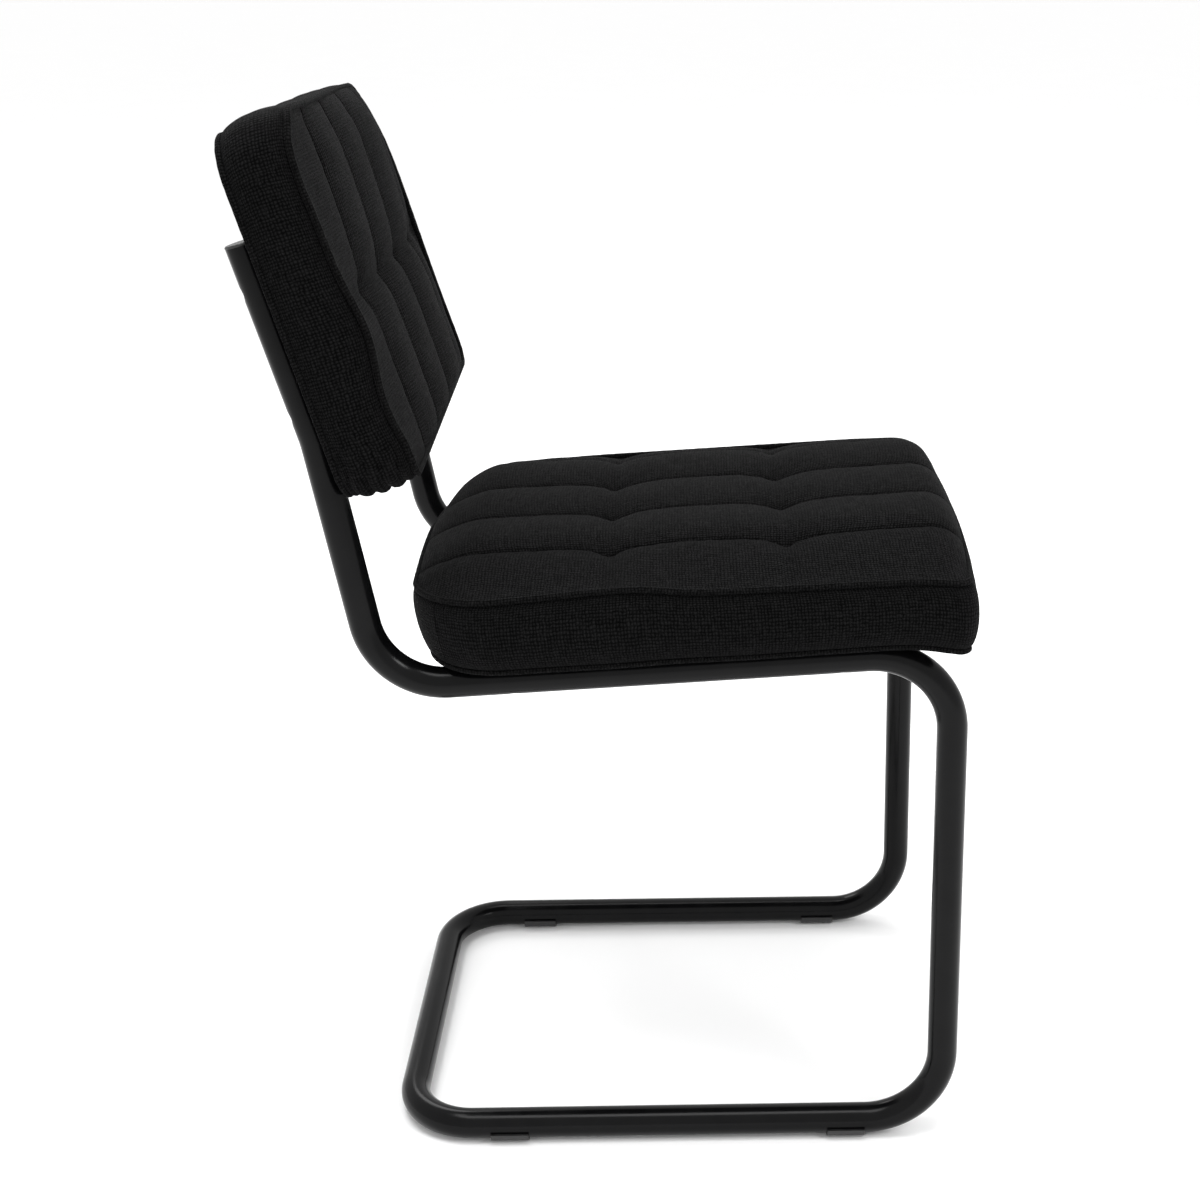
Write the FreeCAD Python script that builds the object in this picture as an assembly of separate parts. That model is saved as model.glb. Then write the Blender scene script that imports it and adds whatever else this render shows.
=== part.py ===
import FreeCAD, Part
import math
import os

# Cantilever dining chair: a bent tube frame that carries a seat cushion and a back cushion.
# Millimetres. The chair faces -Y, +Z is up, +X is the sitter's left hand side.
# The origin is on the floor, under the middle of the chair's box.

V = FreeCAD.Vector

# Clearances
fit_gap = 0.3
bolt_play = 0.3
piping_gap = 0.5

# Frame tube
tube_diameter = 24.0
tube_wall = 2.0
frame_width = 340.0
front_bend_radius = 62.5
rear_bend_radius = 58.5
floor_corner_radius = 54.0
kink_bend_radius = 73.0

# Side view of the frame, measured between the corners of its centre line
floor_rail_length = 441.0
front_leg_height = 416.0
front_leg_setback = 3.0
seat_rail_run = 435.0
seat_slope = 3.2
lower_upright_height = 194.0
lower_upright_lean = 10.3
upper_upright_length = 148.0
upper_upright_lean = 16.3

# Joint of the two frame halves, in the middle of the rear floor bar
sleeve_length = 90.0
sleeve_wall = 1.6

# Plugs in the open tops of the uprights
cap_thickness = 1.8
cap_plug_depth = 16.0
cap_plug_wall = 1.8
cap_edge_bevel = 0.7

# Saddle glides under the floor rails
glide_sole = 1.5
glide_wing = 2.0
glide_length = 31.0
glide_foot_width = 11.0
glide_wing_drop = 3.0
glide_peg_diameter = 4.4
glide_peg_height = 5.0
glide_foot_sink = 6.0
front_glide_place = 79.0
rear_glide_place = 85.0

# Screws, insert nuts and the access holes in the tubes
screw_diameter = 6.0
screw_head_diameter = 11.0
screw_head_height = 3.6
screw_socket_width = 4.0
screw_socket_depth = 2.2
screw_reach = 11.0
access_hole_diameter = 14.0
nut_flange_diameter = 17.0
nut_flange_thickness = 1.2
nut_barrel_diameter = 8.4
nut_barrel_length = 8.5

# Upholstery, the same on both cushions
cloth_thickness = 0.8
fabric_thickness = 1.2
board_thickness = 12.0
wadding_side = 14.0
cover_hem = 42.0
cloth_margin = 18.0
piping_diameter = 5.0
piping_sides = 8
band_levels = 5
least_corner = 6.0
channel_count = 5
tuft_reach = 17.0
tie_diameter = 1.8
tie_stitch_diameter = 5.0
tie_stitch_height = 1.4
tie_knot_diameter = 6.0
tie_knot_height = 0.9
end_fade_power = 6
side_fade_power = 4
least_end_puff = 0.25
end_station_share = 0.06
channel_station_shares = (0.16, 0.34, 0.5, 0.66, 0.84)

# Seat cushion, along the seat rails from its rear edge
seat_side_overhang = 35.0
seat_length = 424.0
seat_front_bow = 12.0
seat_rear_corner = 70.0
seat_front_corner = 34.0
seat_edge_height = 56.0
seat_upper_tuck = 6.0
seat_lower_tuck = 8.0
seat_piping_lift = 2.5
seat_seam_height = 70.0
seat_puff = 7.0
seat_tuft_depth = 6.0
seat_foam_height = 38.0
seat_place = 26.0
seat_screw_places = (74.0, 323.0)
seat_tuft_rows = (152.0, 288.0)

# Back cushion, up the upper uprights from its lower edge
back_side_overhang = 33.0
back_height = 271.0
back_top_bow = 3.0
back_lower_corner = 34.0
back_upper_corner = 40.0
back_edge_height = 45.0
back_upper_tuck = 4.0
back_lower_tuck = 3.0
back_piping_lift = -1.0
back_seam_height = 50.0
back_puff = 10.0
back_tuft_depth = 8.0
back_foam_height = 22.0
back_drop = 46.0
back_screw_places = (67.0, 161.0)
back_tuft_rows = (134.0,)

# Values that follow
tube_radius = tube_diameter / 2
bore_radius = tube_radius - tube_wall
side_x = frame_width / 2
floor_rail_z = glide_sole + tube_radius
piping_radius = piping_diameter / 2
hole_radius = screw_diameter / 2 + bolt_play
tie_hole_width = tie_diameter + 2 * fit_gap
seat_width = frame_width + 2 * seat_side_overhang
back_width = frame_width + 2 * back_side_overhang
seat_rail_angle = math.radians(seat_slope)
lower_angle = math.radians(lower_upright_lean)
upper_angle = math.radians(upper_upright_lean)


def side_point(x, forward, height):
    """A point of the side view, by how far it is forward of the front floor corner."""
    return V(x, -forward, height)


def frame_corners():
    """Corners of the frame's centre line in the side view, as (forward, height) pairs."""
    front_floor = (0.0, floor_rail_z)
    rear_floor = (-floor_rail_length, floor_rail_z)
    front_top = (-front_leg_setback, floor_rail_z + front_leg_height)
    rail_drop = seat_rail_run * math.tan(seat_rail_angle)
    rear_seat = (front_top[0] - seat_rail_run, front_top[1] - rail_drop)
    kink_back = lower_upright_height * math.tan(lower_angle)
    kink = (rear_seat[0] - kink_back, rear_seat[1] + lower_upright_height)
    end = (
        kink[0] - upper_upright_length * math.sin(upper_angle),
        kink[1] + upper_upright_length * math.cos(upper_angle),
    )
    return {
        "front_floor": front_floor,
        "rear_floor": rear_floor,
        "front_top": front_top,
        "rear_seat": rear_seat,
        "kink": kink,
        "end": end,
    }


corners = frame_corners()


# Helpers


def bent_path(points, radii):
    """A wire of straight runs through the points, with a tangent arc at each inner point."""
    edges = []
    start = points[0]
    for index, radius in enumerate(radii, start=1):
        corner = points[index]
        into = (corner - points[index - 1]).normalize()
        out = (points[index + 1] - corner).normalize()
        half_turn = into.getAngle(out) / 2
        reach = radius * math.tan(half_turn)
        arc_start = corner - into * reach
        arc_end = corner + out * reach
        inward = (out - into).normalize()
        arc_middle = corner + inward * (radius / math.cos(half_turn) - radius)
        edges.append(Part.LineSegment(start, arc_start).toShape())
        edges.append(Part.Arc(arc_start, arc_middle, arc_end).toShape())
        start = arc_end
    edges.append(Part.LineSegment(start, points[-1]).toShape())
    return Part.Wire(edges)


def swept_rod(path, radius):
    """A solid rod of the given radius along a path."""
    first = path.OrderedEdges[0]
    start = first.valueAt(first.FirstParameter)
    along = first.tangentAt(first.FirstParameter)
    circle = Part.Wire([Part.makeCircle(radius, start, along)])
    return path.makePipeShell([circle], True, False)


def flat_sided_rod(path, radius):
    """A solid rod with flat sides along a level path that starts along the x axis."""
    start = path.OrderedEdges[0].firstVertex(True).Point
    points = []
    for k in range(piping_sides + 1):
        angle = 2 * math.pi * (k + 0.5) / piping_sides
        points.append(start + V(0, radius * math.cos(angle), radius * math.sin(angle)))
    return path.makePipeShell([Part.makePolygon(points)], True, False)


def hexagon(width, x, y, z):
    """A six-sided outline of the given width across its flats."""
    radius = width / math.sqrt(3)
    points = []
    for k in range(7):
        angle = math.radians(60 * k)
        points.append(V(x + radius * math.cos(angle), y + radius * math.sin(angle), z))
    return Part.makePolygon(points)


def six_sided_rod(width, x, y, low, high):
    """An upright rod with six flat sides, between two heights."""
    face = Part.Face(hexagon(width, x, y, low))
    return face.extrude(V(0, 0, high - low))


def rod(radius, start, end):
    """A straight round rod between two points."""
    along = end - start
    return Part.makeCylinder(radius, along.Length, start, along)


def local_placement(origin, x_axis, along, up):
    """The placement of a cushion's own frame: x, along the channels, and out of the frame."""
    return FreeCAD.Placement(origin, FreeCAD.Rotation(x_axis, along, up, "XYZ"))


def seat_placement():
    """Frame of the seat cushion: its origin is on the rails' top, under its rear edge."""
    along = V(0, -math.cos(seat_rail_angle), math.sin(seat_rail_angle))
    up = V(0, math.sin(seat_rail_angle), math.cos(seat_rail_angle))
    corner = side_point(0, *corners["rear_seat"])
    origin = corner + along * seat_place + up * tube_radius
    return local_placement(origin, V(-1, 0, 0), along, up)


def back_placement():
    """Frame of the back cushion: its origin is on the uprights' front, at its lower edge."""
    along = V(0, math.sin(upper_angle), math.cos(upper_angle))
    out = V(0, -math.cos(upper_angle), math.sin(upper_angle))
    corner = side_point(0, *corners["kink"])
    origin = corner - along * back_drop + out * tube_radius
    return local_placement(origin, V(1, 0, 0), along, out)


# Frame


def frame_path(x):
    """Centre line of one frame half, from the top of its upright to the rear bar's middle."""
    order = ("end", "kink", "rear_seat", "front_top", "front_floor", "rear_floor")
    points = [side_point(x, *corners[name]) for name in order]
    points.append(side_point(0, *corners["rear_floor"]))
    radii = (
        kink_bend_radius,
        rear_bend_radius,
        front_bend_radius,
        front_bend_radius,
        floor_corner_radius,
    )
    return bent_path(points, radii)


def fixing_tools(cushion, placement, x):
    """Cutters for one tube's screws: a small hole to the cushion, a wide one for the driver."""
    tools = []
    for place in cushion.screw_places:
        centre = V(x, place, -tube_radius)
        outward = V(x, place, tube_radius)
        inward = V(x, place, -tube_diameter - tube_radius)
        tools.append(rod(hole_radius, centre, outward))
        tools.append(rod(access_hole_diameter / 2, centre, inward))
    for tool in tools:
        tool.Placement = placement.multiply(tool.Placement)
    return tools


def glide_forwards():
    return (-front_glide_place, rear_glide_place - floor_rail_length)


def glide_peg_tools(x):
    """Cutters for the peg holes in the underside of one floor rail."""
    radius = glide_peg_diameter / 2 + fit_gap
    tools = []
    for forward in glide_forwards():
        middle = side_point(x, forward, floor_rail_z)
        tools.append(rod(radius, middle, middle - V(0, 0, tube_diameter)))
    return tools


def frame_half(seat, back):
    """The sitter's right half of the frame: one bent tube, drilled for screws and glides."""
    path = frame_path(-side_x)
    tube = swept_rod(path, tube_radius).cut(swept_rod(path, bore_radius))
    tools = fixing_tools(seat, seat_placement(), side_x)
    tools += fixing_tools(back, back_placement(), -side_x)
    tools += glide_peg_tools(-side_x)
    return tube.cut(tools)


def joint_sleeve():
    """Inner sleeve that lines up and holds the two frame halves in the rear floor bar."""
    radius = bore_radius - fit_gap
    middle = side_point(0, *corners["rear_floor"])
    reach = V(sleeve_length / 2, 0, 0)
    outside = rod(radius, middle - reach, middle + reach)
    inside = rod(radius - sleeve_wall, middle - reach, middle + reach)
    return outside.cut(inside)


def upright_cap(x):
    """Plastic plug in the top of one upright: a disc that covers the tube end, and a cup."""
    end = side_point(x, *corners["end"])
    along = V(0, math.sin(upper_angle), math.cos(upper_angle))
    disc = Part.makeCylinder(tube_radius, cap_thickness, end, along)
    rim = [edge for edge in disc.Edges if edge.Closed]
    top_rim = max(rim, key=lambda edge: edge.CenterOfMass.dot(along))
    disc = disc.makeChamfer(cap_edge_bevel, [top_rim])
    plug_radius = bore_radius - fit_gap
    plug = rod(plug_radius, end - along * cap_plug_depth, end)
    hollow = rod(plug_radius - cap_plug_wall, end - along * cap_plug_depth, end)
    return disc.fuse(plug.cut(hollow)).removeSplitter()


def glide(x, forward):
    """Saddle glide: a flat foot and two wings that hug the tube, with a peg into its hole."""
    middle = side_point(x, forward, floor_rail_z)
    half = V(0, glide_length / 2, 0)
    wing_radius = tube_radius + fit_gap + glide_wing
    body = rod(wing_radius, middle - half, middle + half)
    foot_height = glide_sole + glide_foot_sink
    foot_corner = V(x - glide_foot_width / 2, middle.y - half.y, 0)
    foot = Part.makeBox(glide_foot_width, glide_length, foot_height, foot_corner)
    body = body.fuse(foot)
    body = body.cut(rod(tube_radius + fit_gap, middle - half, middle + half))
    above_corner = V(x - tube_diameter, middle.y - half.y, floor_rail_z - glide_wing_drop)
    above = Part.makeBox(2 * tube_diameter, glide_length, tube_diameter, above_corner)
    below_corner = V(x - tube_diameter, middle.y - half.y, -tube_diameter)
    below = Part.makeBox(2 * tube_diameter, glide_length, tube_diameter, below_corner)
    body = body.cut([above, below])
    peg_base = V(x, middle.y, glide_sole / 2)
    peg_top = V(x, middle.y, glide_sole + glide_peg_height)
    return body.fuse(rod(glide_peg_diameter / 2, peg_base, peg_top))


# Cushions


class Cushion:
    """Sizes of one channelled box cushion, in its own frame.

    The frame has x across the channels, y along them from the low edge, and z out of the
    chair frame, from the plane that touches the tubes.
    """

    def __init__(self, width, length, bow, low_corner, high_corner, edge_height, upper_tuck,
                 lower_tuck, piping_lift, seam_height, puff, tuft_depth, foam_height,
                 screw_places, tuft_rows):
        self.half_width = width / 2
        self.length = length
        self.bow = bow
        self.low_corner = low_corner
        self.high_corner = high_corner
        self.edge_height = edge_height
        self.upper_tuck = upper_tuck
        self.lower_tuck = lower_tuck
        self.piping_lift = piping_lift
        self.seam_height = seam_height
        self.puff = puff
        self.tuft_depth = tuft_depth
        self.foam_height = foam_height
        self.screw_places = screw_places
        self.tuft_rows = tuft_rows
        self.hem_bottom = fit_gap + cloth_thickness + fit_gap
        self.board_bottom = self.hem_bottom + fabric_thickness + fit_gap
        self.board_top = self.board_bottom + board_thickness
        self.foam_bottom = self.board_top + fit_gap
        self.foam_top = self.foam_bottom + foam_height
        self.roof = seam_height + 2 * puff

    def channel_width(self):
        return 2 * self.half_width / channel_count

    def seam_places(self):
        """Places across the cushion of the sewn seams between channels."""
        first = -self.half_width
        return [first + self.channel_width() * k for k in range(1, channel_count)]

    def end_fade(self, y):
        """One over the cushion's middle, falling to nothing at its low and high edges."""
        share = (2 * y - self.length) / self.length
        return max(0.0, 1 - abs(share) ** end_fade_power)

    def side_fade(self, x):
        """One over the cushion's middle, falling to nothing at its sides."""
        return 1 - abs(x / self.half_width) ** side_fade_power

    def row_dip(self, y):
        """One at a row of tufts, falling to nothing away from it."""
        return sum(math.exp(-(((y - row) / tuft_reach) ** 2)) for row in self.tuft_rows)

    def seam_level(self, x, y):
        """Height of the cover where a seam or an edge runs."""
        rise = (self.seam_height - self.edge_height) * self.side_fade(x)
        dip = self.tuft_depth * self.side_fade(x) * self.row_dip(y)
        return self.edge_height + (rise - dip) * self.end_fade(y)

    def crest_level(self, x, y):
        """Height of the cover along the middle of a channel."""
        half = self.channel_width() / 2
        seams = (self.seam_level(x - half, y) + self.seam_level(x + half, y)) / 2
        share = 1 + self.side_fade(x) * (1 - self.row_dip(y) / 2)
        return seams + self.puff / 2 * share * max(self.end_fade(y), least_end_puff)

    def stitch_level(self, x, y):
        """Height of a tuft's stitch, whose rim clears the channels that rise around it."""
        steepness = 4 * self.puff / self.channel_width() + self.tuft_depth / tuft_reach
        return self.seam_level(x, y) + steepness * tie_stitch_diameter / 2

    def stations(self):
        """Places along the channels where the cushion's section is drawn."""
        ends = [0.0, *self.tuft_rows, self.length]
        places = [-1.0, end_station_share * ends[1]]
        for low, high in zip(ends[:-1], ends[1:]):
            if low > 0:
                places.append(low)
            places += [low + (high - low) * share for share in channel_station_shares]
        places.append(self.length - end_station_share * (self.length - ends[-2]))
        places.append(self.length + self.bow + 1.0)
        return places


def seat_cushion():
    return Cushion(
        seat_width,
        seat_length,
        seat_front_bow,
        seat_rear_corner,
        seat_front_corner,
        seat_edge_height,
        seat_upper_tuck,
        seat_lower_tuck,
        seat_piping_lift,
        seat_seam_height,
        seat_puff,
        seat_tuft_depth,
        seat_foam_height,
        seat_screw_places,
        seat_tuft_rows,
    )


def back_cushion():
    return Cushion(
        back_width,
        back_height,
        back_top_bow,
        back_lower_corner,
        back_upper_corner,
        back_edge_height,
        back_upper_tuck,
        back_lower_tuck,
        back_piping_lift,
        back_seam_height,
        back_puff,
        back_tuft_depth,
        back_foam_height,
        back_screw_places,
        back_tuft_rows,
    )


def plan_outline(cushion, inset, z):
    """Plan of a cushion: straight low edge and sides, bowed high edge, four round corners."""
    half = cushion.half_width - inset
    low = inset
    low_round = max(cushion.low_corner - inset, least_corner)
    high_round = max(cushion.high_corner - inset, least_corner)
    bow_radius = (cushion.half_width**2 + cushion.bow**2) / (2 * cushion.bow)
    bow_centre = cushion.length + cushion.bow - bow_radius
    bow_radius = bow_radius - inset
    # The high corner's arc touches the side line and the bowed edge
    corner_x = half - high_round
    corner_y = bow_centre + math.sqrt((bow_radius - high_round) ** 2 - corner_x**2)
    corner_angle = math.atan2(corner_y - bow_centre, corner_x)
    touch = V(math.cos(corner_angle), math.sin(corner_angle), 0) * bow_radius
    touch = touch + V(0, bow_centre, z)
    mid_angle = corner_angle / 2
    high_middle = V(math.cos(mid_angle), math.sin(mid_angle), 0) * high_round
    high_middle = high_middle + V(corner_x, corner_y, z)
    diagonal = low_round * math.sqrt(0.5)
    low_middle = V(half - low_round + diagonal, low + low_round - diagonal, z)
    side_low = V(half, low + low_round, z)
    side_high = V(half, corner_y, z)
    low_end = V(half - low_round, low, z)
    top = V(0, bow_centre + bow_radius, z)

    def other(point):
        return V(-point.x, point.y, point.z)

    edges = [
        Part.LineSegment(other(low_end), low_end),
        Part.Arc(low_end, low_middle, side_low),
        Part.LineSegment(side_low, side_high),
        Part.Arc(side_high, high_middle, touch),
        Part.Arc(touch, top, other(touch)),
        Part.Arc(other(touch), other(high_middle), other(side_high)),
        Part.LineSegment(other(side_high), other(side_low)),
        Part.Arc(other(side_low), other(low_middle), other(low_end)),
    ]
    return Part.Wire([edge.toShape() for edge in edges])


def plan_block(cushion, inset, bottom, top):
    """A block with the cushion's plan, drawn in by the inset, between two heights."""
    face = Part.Face(plan_outline(cushion, inset, bottom))
    return face.extrude(V(0, 0, top - bottom))


def channel_section(cushion, y):
    """Section across the channels: one arc for each channel over a flat underside."""
    bottom = cushion.edge_height - piping_radius
    width = cushion.channel_width()
    places = [-cushion.half_width + width * k for k in range(channel_count + 1)]
    levels = [cushion.seam_level(x, y) for x in places]
    edges = [Part.LineSegment(V(places[0], y, bottom), V(places[-1], y, bottom))]
    edges.append(Part.LineSegment(V(places[-1], y, bottom), V(places[-1], y, levels[-1])))
    for k in range(channel_count, 0, -1):
        middle = (places[k] + places[k - 1]) / 2
        crest = V(middle, y, cushion.crest_level(middle, y))
        start = V(places[k], y, levels[k])
        edges.append(Part.Arc(start, crest, V(places[k - 1], y, levels[k - 1])))
    edges.append(Part.LineSegment(V(places[0], y, levels[0]), V(places[0], y, bottom)))
    return Part.Wire([edge.toShape() for edge in edges])


def crown(cushion):
    """Top of the cover: channels that swell between the seams and dip at the tufts."""
    sections = [channel_section(cushion, y) for y in cushion.stations()]
    channels = Part.makeLoft(sections, True, True)
    trim = plan_block(cushion, cushion.upper_tuck + fit_gap, 0, 2 * cushion.roof)
    return channels.common(trim)


def boxing(cushion):
    """Side band of the cover, which swells between its two rows of piping."""
    bottom = cushion.hem_bottom
    outlines = []
    for k in range(band_levels):
        share = k / (band_levels - 1)
        bulge = math.sin(math.pi * share)
        tuck = cushion.upper_tuck * share + cushion.lower_tuck * (1 - share)
        level = bottom + (cushion.edge_height - bottom) * share
        outlines.append(plan_outline(cushion, tuck * (1 - bulge), level))
    return Part.makeLoft(outlines, True, True)


def lower_piping(cushion, radius):
    """A round of the given radius along the cushion's edge towards the frame."""
    level = cushion.hem_bottom + cushion.piping_lift
    return flat_sided_rod(plan_outline(cushion, cushion.lower_tuck, level), radius)


def upper_piping(cushion, radius):
    """A round of the given radius along the cushion's edge away from the frame."""
    path = plan_outline(cushion, cushion.upper_tuck, cushion.edge_height)
    return flat_sided_rod(path, radius)


def tie_places(cushion):
    """Where the tufts are: each row of ties meets each seam."""
    rows = cushion.tuft_rows
    return [(x, y) for y in rows for x in cushion.seam_places()]


def screw_spots(cushion):
    """Where the screws enter the cushion, over the tubes."""
    places = cushion.screw_places
    return [(x, y) for y in places for x in (-side_x, side_x)]


def tie_holes(cushion):
    """Cutters for the ties' way through foam and cover."""
    top = cushion.roof
    return [six_sided_rod(tie_hole_width, x, y, 0, top) for x, y in tie_places(cushion)]


def cover(cushion):
    """Sewn cover with its quilted wadding, hemmed under the board and open below."""
    body = boxing(cushion).fuse(crown(cushion))
    inner_top = cushion.foam_top + fit_gap
    inner_bottom = cushion.hem_bottom + fabric_thickness
    tools = [plan_block(cushion, wadding_side, inner_bottom, inner_top)]
    tools.append(plan_block(cushion, cover_hem, 0, inner_bottom + fit_gap))
    tools.append(lower_piping(cushion, piping_radius + piping_gap))
    tools.append(upper_piping(cushion, piping_radius + piping_gap))
    for x, y in screw_spots(cushion):
        tools.append(rod(hole_radius, V(x, y, 0), V(x, y, inner_bottom + fit_gap)))
    body = body.cut(tools)
    return body.cut(tie_holes(cushion))


def foam(cushion):
    """Foam block inside the cover, on the board."""
    inset = wadding_side + fit_gap
    block = plan_block(cushion, inset, cushion.foam_bottom, cushion.foam_top)
    return block.cut(tie_holes(cushion))


def board(cushion):
    """Plywood board that carries the cushion, drilled for insert nuts and ties."""
    inset = wadding_side + fit_gap
    block = plan_block(cushion, inset, cushion.board_bottom, cushion.board_top)
    sink = nut_flange_thickness + fit_gap
    tools = []
    for x, y in tie_places(cushion):
        tools.append(rod(tie_diameter, V(x, y, 0), V(x, y, cushion.board_top)))
    for x, y in screw_spots(cushion):
        low = V(x, y, 0)
        high = V(x, y, cushion.board_top)
        tools.append(rod(nut_barrel_diameter / 2 + fit_gap, low, high))
        tools.append(rod(nut_flange_diameter / 2 + fit_gap, high - V(0, 0, sink), high))
    return block.cut(tools)


def under_cloth(cushion):
    """Thin cloth that closes the side of the cushion towards the frame."""
    block = plan_block(cushion, cloth_margin, fit_gap, fit_gap + cloth_thickness)
    tools = []
    for x, y in screw_spots(cushion):
        tools.append(rod(hole_radius, V(x, y, 0), V(x, y, cloth_thickness * 2)))
    return block.cut(tools)


def head_level():
    """Height of a screw head's bearing face, where its rim meets the round bore."""
    rim = screw_head_diameter / 2
    return math.sqrt(bore_radius**2 - rim**2) - fit_gap - tube_radius


def screw(cushion, x, y):
    """Socket head screw, from inside the tube into the insert nut."""
    face = head_level()
    head_bottom = face - screw_head_height
    head = rod(screw_head_diameter / 2, V(0, 0, head_bottom), V(0, 0, face))
    shank = rod(screw_diameter / 2, V(0, 0, face), V(0, 0, cushion.board_bottom + screw_reach))
    socket_top = head_bottom + screw_socket_depth
    socket = six_sided_rod(screw_socket_width, 0, 0, head_bottom, socket_top)
    body = head.fuse(shank).removeSplitter().cut(socket)
    body.translate(V(x, y, 0))
    return body


def screws(cushion):
    return Part.makeCompound([screw(cushion, x, y) for x, y in screw_spots(cushion)])


def insert_nut(cushion, x, y):
    """Flanged nut let into the board from the foam side."""
    top = cushion.board_top
    flange_low = top - nut_flange_thickness
    flange = rod(nut_flange_diameter / 2, V(x, y, flange_low), V(x, y, top))
    barrel = rod(nut_barrel_diameter / 2, V(x, y, top - nut_barrel_length), V(x, y, top))
    bore = rod(hole_radius, V(x, y, 0), V(x, y, 2 * top))
    return flange.fuse(barrel).removeSplitter().cut(bore)


def insert_nuts(cushion):
    return Part.makeCompound([insert_nut(cushion, x, y) for x, y in screw_spots(cushion)])


def tuft_tie(cushion, x, y):
    """Twine that pulls the cover down: a stitch on the seam and a knot under the board."""
    stitch_low = cushion.stitch_level(x, y)
    stitch_high = stitch_low + tie_stitch_height
    knot_high = cushion.board_bottom - fit_gap
    knot_low = knot_high - tie_knot_height
    stitch = six_sided_rod(tie_stitch_diameter, x, y, stitch_low, stitch_high)
    twine = six_sided_rod(tie_diameter, x, y, knot_low, stitch_high)
    knot = six_sided_rod(tie_knot_diameter, x, y, knot_low, knot_high)
    return stitch.fuse([twine, knot]).removeSplitter()


def tuft_ties(cushion):
    return Part.makeCompound([tuft_tie(cushion, x, y) for x, y in tie_places(cushion)])


def cushion_pieces(name, cushion, placement):
    """Every piece of one cushion, moved to its place on the frame."""
    pieces = {
        name + "_cover": cover(cushion),
        name + "_foam": foam(cushion),
        name + "_board": board(cushion),
        name + "_under_cloth": under_cloth(cushion),
        name + "_upper_piping": upper_piping(cushion, piping_radius),
        name + "_lower_piping": lower_piping(cushion, piping_radius),
        name + "_screws": screws(cushion),
        name + "_insert_nuts": insert_nuts(cushion),
        name + "_tuft_ties": tuft_ties(cushion),
    }
    for shape in pieces.values():
        shape.Placement = placement.multiply(shape.Placement)
    return pieces


def mirrored(shape):
    return shape.mirror(V(0, 0, 0), V(1, 0, 0))


def frame_pieces(seat, back):
    """The two frame halves, their sleeve, caps and glides."""
    right_half = frame_half(seat, back)
    pieces = {
        "right_frame_tube": right_half,
        "left_frame_tube": mirrored(right_half),
        "frame_joint_sleeve": joint_sleeve(),
    }
    front, rear = glide_forwards()
    for side, x in (("right", -side_x), ("left", side_x)):
        pieces[side + "_upright_cap"] = upright_cap(x)
        pieces[side + "_front_glide"] = glide(x, front)
        pieces[side + "_rear_glide"] = glide(x, rear)
    return pieces


def solids_of(shape):
    """The piece as one solid, or as a group of separate solids."""
    if len(shape.Solids) == 1:
        return shape.Solids[0]
    return Part.makeCompound(shape.Solids)


def chair():
    """All pieces, moved so that the origin is under the middle of the chair's box."""
    seat = seat_cushion()
    back = back_cushion()
    pieces = frame_pieces(seat, back)
    pieces.update(cushion_pieces("seat", seat, seat_placement()))
    pieces.update(cushion_pieces("back", back, back_placement()))
    whole = Part.makeCompound(list(pieces.values()))
    box = whole.optimalBoundingBox(False)
    for shape in pieces.values():
        shape.translate(V(0, -box.Center.y, 0))
    return pieces


os.makedirs("parts", exist_ok=True)
for node, piece in chair().items():
    solid = solids_of(piece)
    solid.exportStep("parts/" + node + ".step")
    print(node, len(solid.Solids), solid.isValid(), round(solid.Volume))
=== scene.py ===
import logging
import math
from dataclasses import dataclass
from enum import Enum
from functools import partial

import bmesh
import bpy
import numpy as np
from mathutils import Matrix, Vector


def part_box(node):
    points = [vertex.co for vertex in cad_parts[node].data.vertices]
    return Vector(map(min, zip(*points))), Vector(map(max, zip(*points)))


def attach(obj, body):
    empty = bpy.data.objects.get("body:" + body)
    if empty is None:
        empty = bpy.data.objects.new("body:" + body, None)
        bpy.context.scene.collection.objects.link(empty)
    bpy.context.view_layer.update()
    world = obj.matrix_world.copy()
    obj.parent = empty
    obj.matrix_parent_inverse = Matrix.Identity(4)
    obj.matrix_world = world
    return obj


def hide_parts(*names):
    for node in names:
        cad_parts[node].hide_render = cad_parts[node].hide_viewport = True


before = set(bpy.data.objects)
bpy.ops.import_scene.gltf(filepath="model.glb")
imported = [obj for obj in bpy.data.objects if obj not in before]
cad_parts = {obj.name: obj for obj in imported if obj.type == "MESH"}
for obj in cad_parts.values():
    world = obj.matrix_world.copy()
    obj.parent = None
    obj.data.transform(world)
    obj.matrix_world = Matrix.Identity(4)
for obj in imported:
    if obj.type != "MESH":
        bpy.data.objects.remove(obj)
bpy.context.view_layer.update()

LOG = logging.getLogger("cantilever_chair")
Array = np.ndarray
MM = 0.001
SIDEWAYS = np.array([1.0, 0.0, 0.0])
SHARP_ANGLE = math.radians(35)
FRONT_GLIDE_PLACE = 79.0
CAMERA_PLACE = 204.8


class Side(Enum):
    """The sitter's right and left hand side, with the sign of X there."""

    RIGHT = -1
    LEFT = 1


# Finishes


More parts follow.
